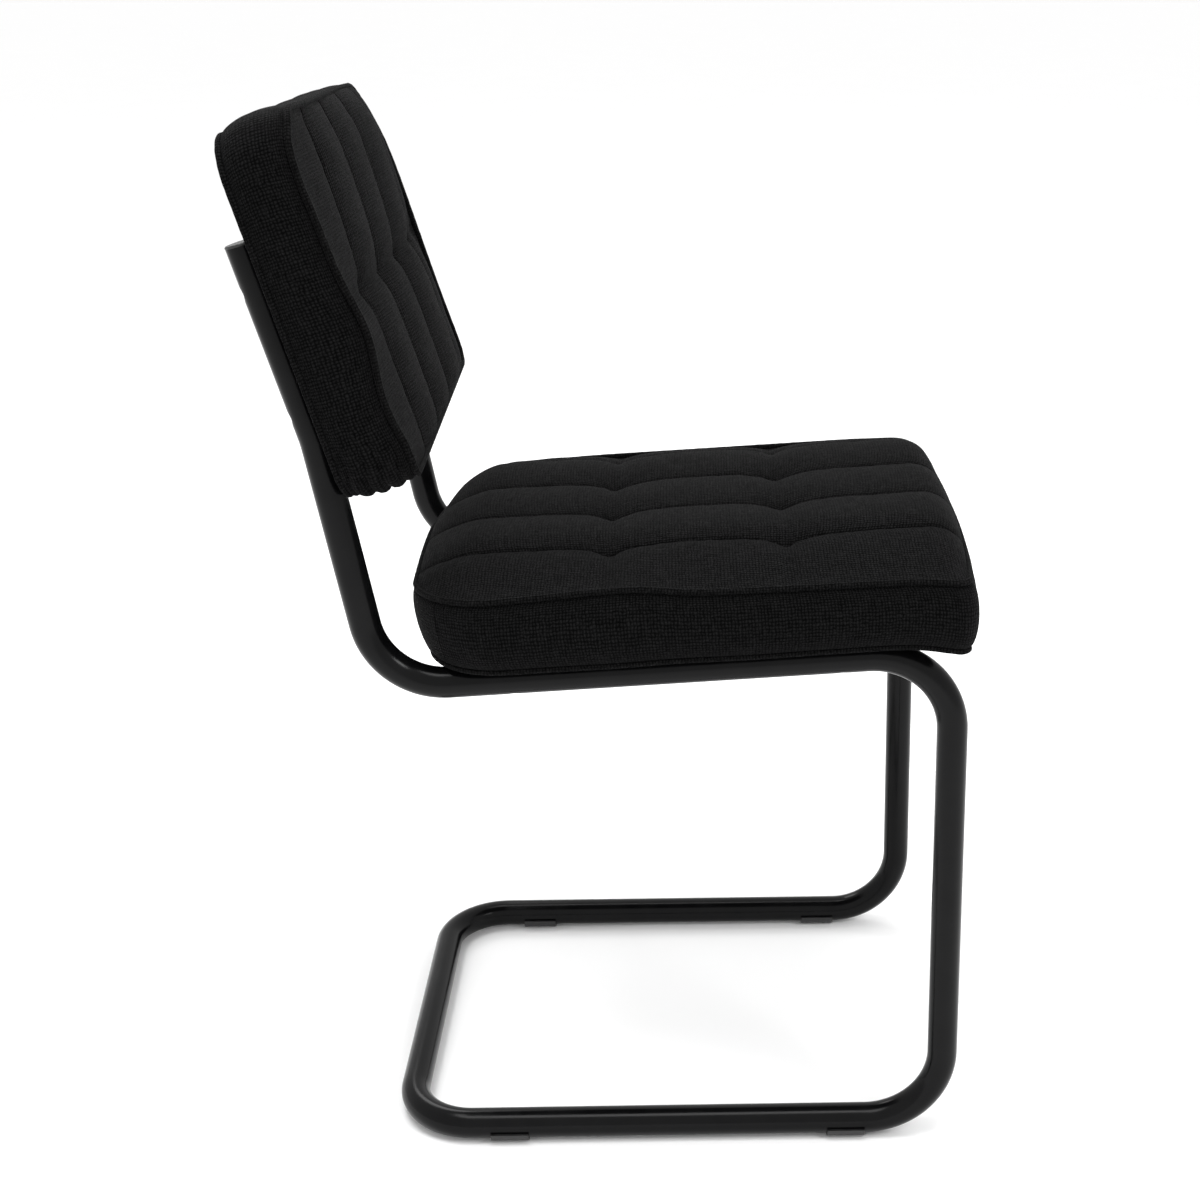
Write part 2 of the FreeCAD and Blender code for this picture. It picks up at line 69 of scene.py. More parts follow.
class Graph:
    """A material's node tree, with short calls to add and join nodes."""

    def __init__(self, name: str) -> None:
        """Starts a material that holds one principled shader.

        Args:
            name: The material's name.
        """
        self.material = bpy.data.materials.new(name)
        self.material.use_nodes = True
        self.tree = self.material.node_tree
        self.tree.nodes.clear()
        output = self.tree.nodes.new("ShaderNodeOutputMaterial")
        self.shader = self.tree.nodes.new("ShaderNodeBsdfPrincipled")
        self.tree.links.new(self.shader.outputs[0], output.inputs["Surface"])

    def add(self, kind: str, sockets: dict | None = None, **settings) -> bpy.types.Node:
        """Adds a node.

        Args:
            kind: The node's type name after "ShaderNode".
            sockets: Values or outputs for its input sockets, by name or number.
            settings: Values for the node's own attributes.

        Returns:
            The new node.
        """
        node = self.tree.nodes.new("ShaderNode" + kind)
        for name, value in settings.items():
            setattr(node, name, value)
        for key, value in (sockets or {}).items():
            if isinstance(value, bpy.types.NodeSocket):
                self.tree.links.new(value, node.inputs[key])
            else:
                node.inputs[key].default_value = value
        return node

    def math(self, operation: str, first, second=0.0):
        """Adds a math node and returns its result socket."""
        return self.add("Math", {0: first, 1: second}, operation=operation).outputs[0]

    def ramp(self, factor, low: tuple, high: tuple, start: float = 0.0, end: float = 1.0):
        """Adds a two colour ramp.

        Args:
            factor: The socket that drives the ramp.
            low: Colour at the start, as red, green and blue.
            high: Colour at the end.
            start: Factor where the ramp starts.
            end: Factor where it ends.

        Returns:
            The ramp's colour socket.
        """
        node = self.add("ValToRGB", {"Fac": factor})
        node.color_ramp.elements[0].position = start
        node.color_ramp.elements[1].position = end
        node.color_ramp.elements[0].color = (*low, 1.0)
        node.color_ramp.elements[1].color = (*high, 1.0)
        return node.outputs["Color"]

    def noise(self, vector, scale: float, detail: float = 2.0, roughness: float = 0.5):
        """Adds a noise texture on a vector socket and returns its value socket."""
        sockets = {"Vector": vector, "Scale": scale, "Detail": detail, "Roughness": roughness}
        return self.add("TexNoise", sockets).outputs["Fac"]

    def stretched(self, vector, scale: tuple):
        """Scales a vector socket by a different amount on each axis."""
        return self.add("Mapping", {"Vector": vector, "Scale": scale}).outputs[0]

    def bump(self, height, distance: float, strength: float = 1.0) -> None:
        """Joins a height socket to the shader's normal through a bump of the given depth."""
        sockets = {"Height": height, "Distance": distance, "Strength": strength}
        node = self.add("Bump", sockets)
        self.tree.links.new(node.outputs[0], self.shader.inputs["Normal"])

    def dress(self, values: dict) -> bpy.types.Material:
        """Sets shader sockets to values or outputs and returns the material."""
        for key, value in values.items():
            if isinstance(value, bpy.types.NodeSocket):
                self.tree.links.new(value, self.shader.inputs[key])
            else:
                self.shader.inputs[key].default_value = value
        return self.material


@dataclass(frozen=True)
class PlainFinish:
    """A finish whose colour, roughness and bump follow one noise.

    Attributes:
        name: The material's name.
        dark: Colour where the noise is low.
        light: Colour where it is high.
        rough: Roughness at both; two equal values make it constant.
        scale: The noise's scale, or one for each axis.
        detail: Its detail.
        grit: Its own roughness.
        span: The noise values between which the colour changes.
        depth: Depth of the bump, in metres.
        strength: Strength of the bump.
        bump_scale: Scale of a noise of its own for the bump; nothing takes the same one.
        metallic: How metallic it is.
        specular: The shader's specular level.
    """

    name: str
    dark: tuple
    light: tuple
    rough: tuple
    scale: float | tuple
    detail: float
    grit: float = 0.5
    span: tuple = (0.3, 0.7)
    depth: float = 0.0002
    strength: float = 0.7
    bump_scale: float = 0.0
    metallic: float = 0.0
    specular: float = 0.5

    def build(self) -> bpy.types.Material:
        """Makes the material, on the object's own coordinates."""
        graph = Graph(self.name)
        place = graph.add("TexCoord").outputs["Object"]
        if isinstance(self.scale, tuple):
            grain = graph.noise(graph.stretched(place, self.scale), 1.0, self.detail, self.grit)
        else:
            grain = graph.noise(place, self.scale, self.detail, self.grit)
        bump = graph.noise(place, self.bump_scale, 2.0) if self.bump_scale else grain
        graph.bump(bump, self.depth, self.strength)
        low, high = self.rough
        rough = low
        if low != high:
            sockets = {0: grain, 1: 0.3, 2: 0.7, 3: low, 4: high}
            rough = graph.add("MapRange", sockets).outputs[0]
        return graph.dress({
            "Base Color": graph.ramp(grain, self.dark, self.light, *self.span),
            "Roughness": rough,
            "Metallic": self.metallic,
            "Specular IOR Level": self.specular,
        })


POWDER_COAT = PlainFinish(
    "powder_coat", (0.0018, 0.0018, 0.0020), (0.0032, 0.0032, 0.0034), (0.16, 0.23),
    scale=38.0, detail=4.0, grit=0.6, span=(0.35, 0.7), depth=0.00006, strength=0.6,
    bump_scale=900.0, specular=0.13)
MOULDED_PLASTIC = PlainFinish(
    "moulded_plastic", (0.006, 0.006, 0.006), (0.011, 0.011, 0.011), (0.42, 0.58),
    scale=120.0, detail=3.0, depth=0.00005, bump_scale=2200.0)
ZINC_PLATE = PlainFinish(
    "zinc_plate", (0.42, 0.42, 0.43), (0.6, 0.6, 0.6), (0.28, 0.42),
    scale=(90.0, 2400.0, 2400.0), detail=3.0, depth=0.00004, strength=0.5, metallic=1.0)
BLACK_STEEL = PlainFinish(
    "black_steel", (0.01, 0.01, 0.01), (0.03, 0.03, 0.03), (0.3, 0.45),
    scale=(90.0, 2400.0, 2400.0), detail=3.0, depth=0.00004, strength=0.5, metallic=0.6)
PLYWOOD = PlainFinish(
    "plywood", (0.36, 0.23, 0.12), (0.62, 0.46, 0.29), (0.7, 0.7),
    scale=(160.0, 9.0, 160.0), detail=4.0, grit=0.6, span=(0.3, 0.75), strength=0.5)
TWINE = PlainFinish(
    "twine", (0.003, 0.003, 0.003), (0.016, 0.016, 0.016), (0.65, 0.65),
    scale=2600.0, detail=2.0, grit=0.6)


@dataclass(frozen=True)
class WovenFabric:
    """Coarse black cloth: thick slubby threads in a plain weave, with a soft nap.

    Attributes:
        pitch: Distance between two threads, in metres.
        wander_scale: Scale of the threads' unevenness; wander is its size, in pitches.
        slub_length: Scale of the slubs along a thread; slub_width across it.
        fuzz_scale: Scale of the nap.
        thread_depth: Depth of the weave's bump, in metres.
    """

    name: str = "woven_fabric"
    pitch: float = 0.0024
    wander_scale: float = 240.0
    wander: float = 1.1
    slub_length: float = 80.0
    slub_width: float = 330.0
    fuzz_scale: float = 520.0
    dark: tuple = (0.0001, 0.0001, 0.0001)
    light: tuple = (0.0112, 0.0110, 0.0112)
    thread_depth: float = 0.0013

    def build(self) -> bpy.types.Material:
        """Makes the material; the weave lies on the piece's own UV map, in metres."""
        graph = Graph(self.name)
        cloth = graph.add("UVMap", uv_map="cloth").outputs[0]
        sockets = {"Vector": cloth, "Scale": self.wander_scale, "Detail": 2.0}
        wander = graph.add("TexNoise", sockets)
        shifted = graph.add("VectorMath", {0: wander.outputs["Color"], 1: (0.5, 0.5, 0.5)},
                            operation="SUBTRACT")
        moved = graph.add("VectorMath", {0: shifted.outputs[0], 3: self.pitch * self.wander},
                          operation="SCALE")
        place = graph.add("VectorMath", {0: cloth, 1: moved.outputs[0]}, operation="ADD").outputs[0]
        parts = graph.add("SeparateXYZ", {0: place})
        turn = math.pi / self.pitch
        warp = graph.math("SINE", graph.math("MULTIPLY", parts.outputs[0], turn))
        weft = graph.math("SINE", graph.math("MULTIPLY", parts.outputs[1], turn))
        lattice = graph.math("ABSOLUTE", graph.math("MULTIPLY", warp, weft))
        ways = ((self.slub_width, self.slub_length), (self.slub_length, self.slub_width))
        slub_warp, slub_weft = (
            graph.noise(graph.stretched(cloth, (*way, 1.0)), 1.0, 3.0, 0.6) for way in ways)
        slubs = graph.math("MAXIMUM", slub_warp, slub_weft)
        fuzz = graph.noise(cloth, self.fuzz_scale, 4.0, 0.75)
        plus, times = partial(graph.math, "ADD"), partial(graph.math, "MULTIPLY")
        height = plus(plus(times(lattice, 0.5), times(slubs, 1.2)), times(fuzz, 0.4))
        graph.bump(height, self.thread_depth, 1.0)
        shade = plus(times(lattice, 0.35), times(slubs, fuzz))
        rough = graph.add("MapRange", {0: slubs, 1: 0.35, 2: 0.7, 3: 0.95, 4: 0.8}).outputs[0]
        return graph.dress({
            "Base Color": graph.ramp(shade, self.dark, self.light, 0.3, 0.78),
            "Roughness": rough,
            "Specular IOR Level": 0.04,
            "Sheen Weight": 0.022,
            "Sheen Roughness": 0.45,
            "Sheen Tint": (0.7, 0.7, 0.72, 1.0),
        })


@dataclass(frozen=True)
class LiningCloth:
    """Thin black spun cloth with a faint pressed dimple pattern."""

    name: str = "lining_cloth"

    def build(self) -> bpy.types.Material:
        """Makes the material."""
        graph = Graph(self.name)
        cloth = graph.add("UVMap", uv_map="cloth").outputs[0]
        dots = graph.add("TexVoronoi", {"Vector": cloth, "Scale": 620.0}).outputs["Distance"]
        fibre = graph.noise(cloth, 1500.0, 3.0, 0.7)
        height = graph.math("ADD", dots, graph.math("MULTIPLY", fibre, 0.6))
        graph.bump(height, 0.0002, 0.7)
        return graph.dress({
            "Base Color": graph.ramp(fibre, (0.004, 0.004, 0.004), (0.014, 0.014, 0.014), 0.3, 0.7),
            "Roughness": 0.9,
            "Specular IOR Level": 0.2,
        })


# Meshes


def placed(name: str, data: bpy.types.ID) -> bpy.types.Object:
    """A new object with the given data, in the scene."""
    piece = bpy.data.objects.new(name, data)
    bpy.context.scene.collection.objects.link(piece)
    return piece


def closed(grid: Array) -> Array:
    """A grid with its first column again at the end."""
    return np.concatenate([grid, grid[:, :1]], axis=1)


class MeshParts:
    """Points and faces of one piece, gathered from grids that may share points."""

    def __init__(self) -> None:
        """Starts with nothing."""
        self.points: list[Array] = []
        self.count = 0
        self.faces: list[Array] = []
        self.cloth: list[Array] = []
        self.caps: list[Array] = []

    def add_points(self, points: Array) -> Array:
        """Adds points.

        Args:
            points: An array whose last axis is x, y and z.

        Returns:
            Their numbers, in the shape of the array's other axes.
        """
        flat = points.reshape(-1, 3)
        numbers = np.arange(self.count, self.count + len(flat)).reshape(points.shape[:-1])
        self.points.append(flat)
        self.count += len(flat)
        return numbers

    def add_grid(self, numbers: Array, cloth: Array) -> None:
        """Adds the four sided faces between the rows and columns of a grid.

        Args:
            numbers: Point numbers, rows by columns.
            cloth: Where each lies on the flat cloth, rows by columns by 2, in metres.
        """
        def corners(grid: Array) -> Array:
            """The four corners of each cell, in order round it."""
            parts = (grid[:-1, :-1], grid[:-1, 1:], grid[1:, 1:], grid[1:, :-1])
            return np.stack(parts, axis=2)

        self.faces.append(corners(numbers).reshape(-1, 4))
        self.cloth.append(corners(cloth).reshape(-1, 2))

    def add_tube(self, points: Array, cloth: Array, ring: bool = False) -> None:
        """Adds a solid round, whose last column of points is its first again.

        Args:
            points: Places by columns by 3, in metres.
            cloth: Where each lies on the flat cloth, in metres.
            ring: Whether the last place joins the first, with one row more in the cloth;
                if not, both ends are capped.
        """
        numbers = closed(self.add_points(points[:, :-1]))
        if ring:
            numbers = np.concatenate([numbers, numbers[:1]])
        self.add_grid(numbers, cloth)
        if not ring:
            self.add_cap(numbers[0, :-1])
            self.add_cap(numbers[-1, -2::-1])

    def add_cap(self, numbers: Array) -> None:
        """Closes a flat opening with one face over the points given in order."""
        self.caps.append(numbers)

    def build(self, name: str) -> bpy.types.Object:
        """Makes the object, smooth, with its faces outwards, its place in its mesh and its
        cloth map.

        Args:
            name: The object's name.

        Returns:
            The new object.
        """
        points = np.concatenate(self.points)
        quads = np.concatenate(self.faces)
        cloth = np.concatenate(self.cloth)
        low = points.mean(axis=0)
        first, second, third, fourth = (points[quads[:, k]] - low for k in range(4))
        volume = np.einsum("ij,ij->", first, np.cross(second, third))
        volume += np.einsum("ij,ij->", first, np.cross(third, fourth))
        faces = quads[:, ::-1] if volume < 0 else quads
        loops = faces.reshape(-1)
        if volume < 0:
            cloth = cloth.reshape(-1, 4, 2)[:, ::-1].reshape(-1, 2)
        sizes = np.full(len(quads), 4)
        for cap in self.caps:
            loops = np.concatenate([loops, cap])
            sizes = np.append(sizes, len(cap))
            cloth = np.concatenate([cloth, points[cap][:, :2]])
        mesh = bpy.data.meshes.new(name)
        mesh.vertices.add(len(points))
        mesh.vertices.foreach_set("co", points.astype(np.float32).ravel())
        mesh.loops.add(len(loops))
        mesh.loops.foreach_set("vertex_index", loops.astype(np.int32))
        mesh.polygons.add(len(sizes))
        starts = np.concatenate([[0], np.cumsum(sizes)[:-1]])
        mesh.polygons.foreach_set("loop_start", starts.astype(np.int32))
        mesh.update(calc_edges=True)
        layer = mesh.uv_layers.new(name="cloth")
        layer.data.foreach_set("uv", cloth.astype(np.float32).ravel())
        mesh.polygons.foreach_set("use_smooth", np.ones(len(sizes), bool))
        mesh.validate()
        return placed(name, mesh)


def tube_points(path: Array, across: Array, up: Array, radius: float | Array,
                sides: int) -> Array:
    """Points of a round tube: at each place, the path plus a circle in the across and up plane.

    Args:
        path: Centre line, places by 3.
        across: Unit vector of the circle's first axis at each place.
        up: Unit vector of its second axis at each place.
        radius: The tube's radius, one value or one for each place.
        sides: Points round the tube; the first comes again at the end.

    Returns:
        Points, places by (sides + 1) by 3.
    """
    angle = np.linspace(0, 2 * np.pi, sides + 1)[None, :, None]
    size = np.broadcast_to(np.asarray(radius, float), (len(path),))[:, None, None]
    circle = np.cos(angle) * across[:, None, :] + np.sin(angle) * up[:, None, :]
    return path[:, None, :] + size * circle


def unit(vectors: Array) -> Array:
    """The vectors on the last axis, brought to length one."""
    return vectors / np.linalg.norm(vectors, axis=-1, keepdims=True)


def bell(place: Array, reach: float) -> Array:
    """A Gauss bell: one at nothing, and 0.37 at the given reach."""
    return np.exp(-((place / reach) ** 2))


def hills(place: Array, level: float | Array, shapes: tuple) -> Array:
    """A level with bell shaped hills on it, each given by its height, middle and reach."""
    for height, middle, reach in shapes:
        level = level + height * bell(place - middle, reach)
    return level


def eased(share: Array, amount: float) -> Array:
    """Shares from nothing to one, drawn towards both ends by a sine of the given amount."""
    return share - amount * np.sin(2 * np.pi * share) / (2 * np.pi)


def divided(stops: Array | list, steps: list, amount: float) -> Array:
    """Places from the first stop to the last: each gap gets its own number of steps, which
    are finer near the stops by the given amount."""
    parts = [low + (high - low) * eased(np.arange(count) / count, amount)
             for low, high, count in zip(stops[:-1], stops[1:], steps)]
    return np.concatenate([*parts, stops[-1:]])


def run_of(*coordinates: Array) -> Array:
    """Length along a line from its first point, from the line's coordinates."""
    steps = np.sqrt(sum(np.diff(values) ** 2 for values in coordinates))
    return np.concatenate([[0], np.cumsum(steps)])


def waves(place: Array, period: float, seed: float) -> Array:
    """An uneven wave of about the given period, from minus one to one: three sines whose
    periods don't fit each other, with phases that follow from the seed."""
    turn = 2 * np.pi * place / period
    total = np.sin(turn + seed) + 0.7 * np.sin(0.618 * turn + 2.3 * seed + 1.0)
    return (total + 0.5 * np.sin(1.71 * turn + 4.1 * seed + 2.0)) / 2.2


# Cushions


@dataclass
class Place:
    """Where a cushion's own frame lies: x is the world's X, y runs up along the channels and
    z points out of the chair frame."""

    origin: Array
    along: Array
    up: Array

    def world(self, x: Array, y: Array, z: Array) -> Array:
        """World points, in metres, of places in the cushion's frame, in millimetres."""
        x, y, z = np.broadcast_arrays(x, y, z)
        flat = self.origin + x[..., None] * SIDEWAYS + y[..., None] * self.along
        return (flat + z[..., None] * self.up) * MM

    def world_points(self, points: Array) -> Array:
        """The same, for points on the last axis of one array."""
        return self.world(*np.moveaxis(points, -1, 0))


@dataclass
class BoxCushion:
    """One channelled box cushion: crown, side band, two rows of piping and tufts.

    All sizes are millimetres in the cushion's own frame.

    Attributes:
        bow: How far the high edge stands out in its middle; low_bow is the same at the low one.
        low_corner: Corner radius of the plan at the low edge; high_corner at the high one.
        upper_tuck: Inset of the upper piping from the widest outline; lower_tuck of the lower.
        puff: Height of the channels over their seams; side_puff is its share at the sides.
        tuft_depth: How deep the seams dip at the tufts; crest_dip the same for the crests.
        pull_reach: How far from a row of tufts the dips fall off.
        shoulders: Reach of the round shoulder at the low edge, the sides and the high edge.
        end_tucks: How far the side band draws in at the low and high edge, with tuck_powers.
        skew: Lean of the left side along the channels, as a slope.
        left_round: What the left corners' radii have over the right ones, low and high.
        flank: Share of the half width over which the crown rises.
        cloth_row: Length of cloth between two rows of points down the side band.
        lining_margin: Inset of the lining cloth.
        pucker: Size, period and reach of the puckers along a seam; gather along the piping.
        filling: Size and both periods of the filling's slow unevenness.
        star: Size and reach of the folds round a tuft; pit of the hollow in their middle.
        swell: Size and period of the side band's slow waves; crease of its short ones.
    """

    name: str
    place: Place
    half_width: float
    length: float
    bow: float
    low_corner: float
    high_corner: float
    upper_tuck: float
    lower_tuck: float
    seam_height: float
    puff: float
    tuft_depth: float
    crest_dip: float
    pull_reach: float
    shoulders: tuple
    tuft_rows: tuple
    lower_level: float
    end_tucks: tuple
    tuck_powers: tuple
    seed: float
    channels: int = 5
    piping_radius: float = 2.5
    piping_sides: int = 14
    cloth_row: float = 2.3
    side_puff: float = 0.3
    skew: float = 0.0
    left_round: tuple = (0.0, 0.0)
    low_bow: float = 0.0
    flank: float = 0.5
    groove_depth: float = 1.5
    groove_width: float = 1.6
    channel_steps: int = 28
    row_step: float = 2.8
    band_steps: int = 30
    hem_bottom: float = 1.4
    hem_steps: tuple = (3.0, 9.0, 20.0)
    lining_margin: float = 18.0
    stitch_reach: float = 2.6
    stitch_radius: float = 0.9
    pucker: tuple = (0.45, 13.0, 7.0)
    gather: tuple = (0.5, 17.0, 9.0)
    filling: tuple = (0.7, 74.0, 61.0)
    star: tuple = (0.8, 9.0)
    pit: tuple = (1.6, 5.0)
    swell: tuple = (0.7, 90.0)
    crease: tuple = (0.25, 23.0)

    @property
    def channel_width(self) -> float:
        """Width of one channel."""
        return 2 * self.half_width / self.channels

    @property
    def seams(self) -> list[float]:
        """Places across of the seams between the channels."""
        return [k * self.channel_width - self.half_width for k in range(1, self.channels)]

    def edge_height(self, x: Array, y: Array) -> Array:
        """Height of the upper piping's line at a place on the plan."""
        raise NotImplementedError

    def top_end(self, x: Array) -> Array:
        """Extra length of the plan at a place across it: the bow, as a parabola."""
        return self.bow * (1 - (x / self.half_width) ** 2)

    def right_share(self, x: Array) -> Array:
        """From nothing at the left side to one at the right side."""
        return np.clip(0.5 - 0.5 * x / self.half_width, 0, 1)

    def gathers(self, x: Array, y: Array, share: Array) -> Array:
        """Folds of the side band, as extra distance outwards."""
        return np.zeros(np.broadcast_shapes(x.shape, y.shape, share.shape))

    def columns(self) -> Array:
        """Places across the plan: each channel's width is divided finer near its seams."""
        edges = np.arange(self.channels + 1) * self.channel_width - self.half_width
        edges[0] += self.upper_tuck
        edges[-1] -= self.upper_tuck
        return divided(edges, [self.channel_steps] * self.channels, 0.7)

    def rows(self) -> Array:
        """Places along the plan, with one on each row of tufts."""
        stops = [self.upper_tuck, *self.tuft_rows, self.length - self.upper_tuck]
        steps = [int(round(gap / self.row_step)) for gap in np.diff(stops)]
        return divided(stops, steps, 0.45)

    def plan(self, x: Array, y: Array, inset: Array,
             down: float | Array = 0.0) -> tuple:
        """Plan places at another inset: the rectangle is scaled to that inset, and each corner
        square is bent onto a quarter disc (a becomes a times the root of 1 - b squared / 2,
        and b the same with a), so that the outline gets round corners.

        Args:
            x: Places across, on the rectangle at the upper tuck.
            y: Places along, on the same rectangle.
            inset: Distance inwards from the widest outline.
            down: How far down the side band, from nothing to one; there the left corners
                lose the rounder shape that they have at the top.

        Returns:
            The places across and along.
        """
        half = self.half_width - inset
        wide = x * half / (self.half_width - self.upper_tuck)
        share = (y - self.upper_tuck) / (self.length - 2 * self.upper_tuck)
        tall = inset + share * (self.length - 2 * inset)
        out_x, out_y = wide, tall
        corners = self.corner_radii((x > 0) * (1 - down) ** 1.5)
        for sign, corner in zip((-1, 1), corners):
            radius = np.maximum(corner - inset, 5.0)
            edge = inset if sign < 0 else self.length - inset
            reach_x = np.clip((np.abs(wide) - (half - radius)) / radius, 0, 1)
            reach_y = np.clip((sign * (tall - edge) + radius) / radius, 0, 1)
            bent_x = half - radius + radius * reach_x * np.sqrt(1 - reach_y**2 / 2)
            bent_y = edge + sign * (radius * reach_y * np.sqrt(1 - reach_x**2 / 2) - radius)
            inside = (reach_x > 0) & (reach_y > 0)
            out_x = np.where(inside, np.sign(wide) * bent_x, out_x)
            out_y = np.where(inside, bent_y, out_y)
        stretch = self.top_end(out_x) * self.high_share(out_y) - self.rear_bow(out_x, out_y)
        return out_x, out_y + stretch + self.skew * np.maximum(out_x, 0)

    def corner_radii(self, rounder: Array) -> tuple:
        """Radii of the low and high corners, with a share of what the left ones have more."""
        low = self.low_corner + self.left_round[0] * rounder
        return low, self.high_corner + self.left_round[1] * rounder

    def rear_bow(self, x: Array, y: Array) -> Array:
        """How far the low edge stands out in its middle: it fades out over the low third."""
        fade = np.clip(1 - 3 * y / self.length, 0, 1) ** 2
        return self.low_bow * (1 - np.clip(x / self.half_width, -1, 1) ** 2) ** 2 * fade

    def high_share(self, y: Array) -> Array:
        """Nothing over the low half of the plan, and up to one at its high end."""
        return np.clip(2 * y / self.length - 1, 0, 1) ** 2

    def edge_distance(self, x: Array, y: Array) -> Array:
        """Distance inwards from the upper piping's line, measured on the rectangle that the
        plan was stretched from. Its place along follows from a few rounds of undoing the
        stretch at the last estimate."""
        bent = y - self.skew * np.maximum(x, 0)
        y = bent
        for _ in range(6):
            y = bent - self.top_end(x) * self.high_share(y) + self.rear_bow(x, y)
        from_side = self.half_width - self.upper_tuck - np.abs(x)
        from_low = y - self.upper_tuck
        from_high = self.length - self.upper_tuck - y
        distance = np.minimum(from_side, np.minimum(from_low, from_high))
        for from_end, corner in zip((from_low, from_high), self.corner_radii(x > 0)):
            radius = corner - self.upper_tuck
            reach = np.hypot(np.maximum(radius - from_side, 0), np.maximum(radius - from_end, 0))
            inside = (from_side < radius) & (from_end < radius)
            distance = np.where(inside, radius - reach, distance)
        return np.maximum(distance, 0)

    def row_pull(self, y: Array, reach: float) -> Array:
        """How much the tuft rows pull: falls off from one with the distance to a row."""
        total = np.zeros(np.shape(y))
        for row in self.tuft_rows:
            total = total + np.exp(-(np.sqrt((y - row) ** 2 + 4.0) - 2.0) / reach)
        return np.minimum(total, 1)

    def shoulder_reach(self, y: Array) -> Array:
        """How far the round shoulder reaches inwards: from its value at the low edge over
        that at the sides to that at the high edge."""
        low, side, high = self.shoulders
        at_high = np.clip(1 - (self.length - y) / 90.0, 0, 1)
        return side + (low - side) * bell(y, 45.0) + (high - side) * at_high

    def top_height(self, x: Array, y: Array) -> Array:
        """Height of the cover: from the piping's line, a round shoulder (a quarter circle of
        the distance to the edge) leads up to a crown that rises over the outer channels as a
        smooth step. On it stand the channels, each a bow between two seams, and the seams
        and crests dip sharply at the rows of tufts."""
        edge = self.edge_height(x, y)
        distance = self.edge_distance(x, y)
        near = 1 - np.clip(distance / self.shoulder_reach(y), 0, 1)
        shoulder = np.sqrt(np.clip(1 - near**2, 0, 1))
        climb = np.clip((1 - np.abs(x) / self.half_width) / self.flank, 0, 1)
        side = climb**2 * (3 - 2 * climb)
        width = self.channel_width
        place = (x + self.half_width) / width
        across = place - np.floor(place)
        bow = np.clip(4 * across * (1 - across), 0, 1) ** 0.72
        pull = self.row_pull(y, self.pull_reach)
        crown = (self.seam_height - edge) * side
        crown = crown - self.tuft_depth * (0.25 + 0.75 * side) * pull * (1 - bow)
        puff = self.puff * (self.side_puff + (1 - self.side_puff) * side)
        puff = puff - self.crest_dip * pull
        height = edge - 1.2 + shoulder * (1.2 + crown + puff * bow)
        from_seam = np.minimum(across, 1 - across) * width
        inner = np.abs(x) < self.half_width - width / 2
        groove = np.where(inner, bell(from_seam, self.groove_width), 0)
        height = height - self.groove_depth * groove * shoulder
        return height + self.wrinkles(x, y, from_seam, distance, shoulder)

    def wrinkles(self, x: Array, y: Array, from_seam: Array,
                 distance: Array, shoulder: Array) -> Array:
        """Small unevenness: puckers along each seam, folds that run out from the tufts,
        gathers along the piping and a slow swell of the filling."""
        number = np.round((x + self.half_width) * self.channels / (2 * self.half_width))
        size, period, reach = self.pucker
        pucker = waves(y + 3 * number, period, self.seed + number) * size
        total = pucker * np.exp(-from_seam / reach) * (from_seam > 0)
        side = np.where(np.abs(x) > np.abs(2 * y / self.length - 1) * self.half_width, y, x)
        size, period, reach = self.gather
        total = total + size * waves(side, period, self.seed + 5) * np.exp(-distance / reach)
        size, aslant, along = self.filling
        slow = size * waves(x + 0.4 * y, aslant, self.seed + 1) * waves(y, along, self.seed)
        total = total + slow
        size, reach = self.star
        for row in self.tuft_rows:
            for k, seam in enumerate(self.seams, start=1):
                radius = np.hypot(x - seam, y - row)
                angle = np.arctan2(y - row, x - seam)
                fold = np.cos(5 * angle + k + self.seed) + 0.6 * np.cos(8 * angle + 2.0 * k)
                total = total + size * fold * (radius / reach) * np.exp(-radius / reach)
                total = total - self.pit[0] * bell(radius, self.pit[1])
        return total * shoulder

    def band_inset(self, share: Array) -> Array:
        """Inset of the side band: a straight line between the two tucks, less a bow, and a
        narrow fold inwards beside each row of piping."""
        line = self.upper_tuck * (1 - share) + self.lower_tuck * share
        bulge = (self.upper_tuck + self.lower_tuck) / 2
        bow = bulge * np.clip(4 * share * (1 - share), 0, 1) ** 0.6
        return line - bow + 2.4 * (bell(share, 0.045) + bell(1 - share, 0.045))

    def end_tuck(self, y: Array, share: Array) -> Array:
        """How far the band draws in at the low and high edges, besides its own inset: it
        starts at nothing beside the upper piping and grows with a power of the share."""
        low = self.end_tucks[0] * (1 - (1 - share) ** self.tuck_powers[0])
        high = self.end_tucks[1] * share ** self.tuck_powers[1]
        return low * bell(y, 60.0) - high * bell(self.length - y, 50.0)

    def ring(self, grid: Array) -> Array:
        """The border of a grid, once round, with its first place again at the end."""
        parts = (grid[0, :-1], grid[:-1, -1], grid[-1, :0:-1], grid[:0:-1, 0], grid[0, :1])
        return np.concatenate(parts)

    def lower_line(self, x: Array, y: Array) -> Array:
        """Height of the lower piping's line at a place on the plan."""
        return np.full(np.broadcast_shapes(x.shape, y.shape), self.lower_level)

    def piping_line(self, inset: float, level: str) -> tuple:
        """Plan and height of a piping's centre line, once round the cushion."""
        grid_x, grid_y = np.meshgrid(self.columns(), self.rows())
        down = 0.0 if level == "upper" else 1.0
        x, y = self.plan(self.ring(grid_x), self.ring(grid_y), inset, down)
        if level == "upper":
            return x, y, self.edge_height(x, y)
        return x, y + self.end_tuck(y, np.ones(y.shape)), self.lower_line(x, y)

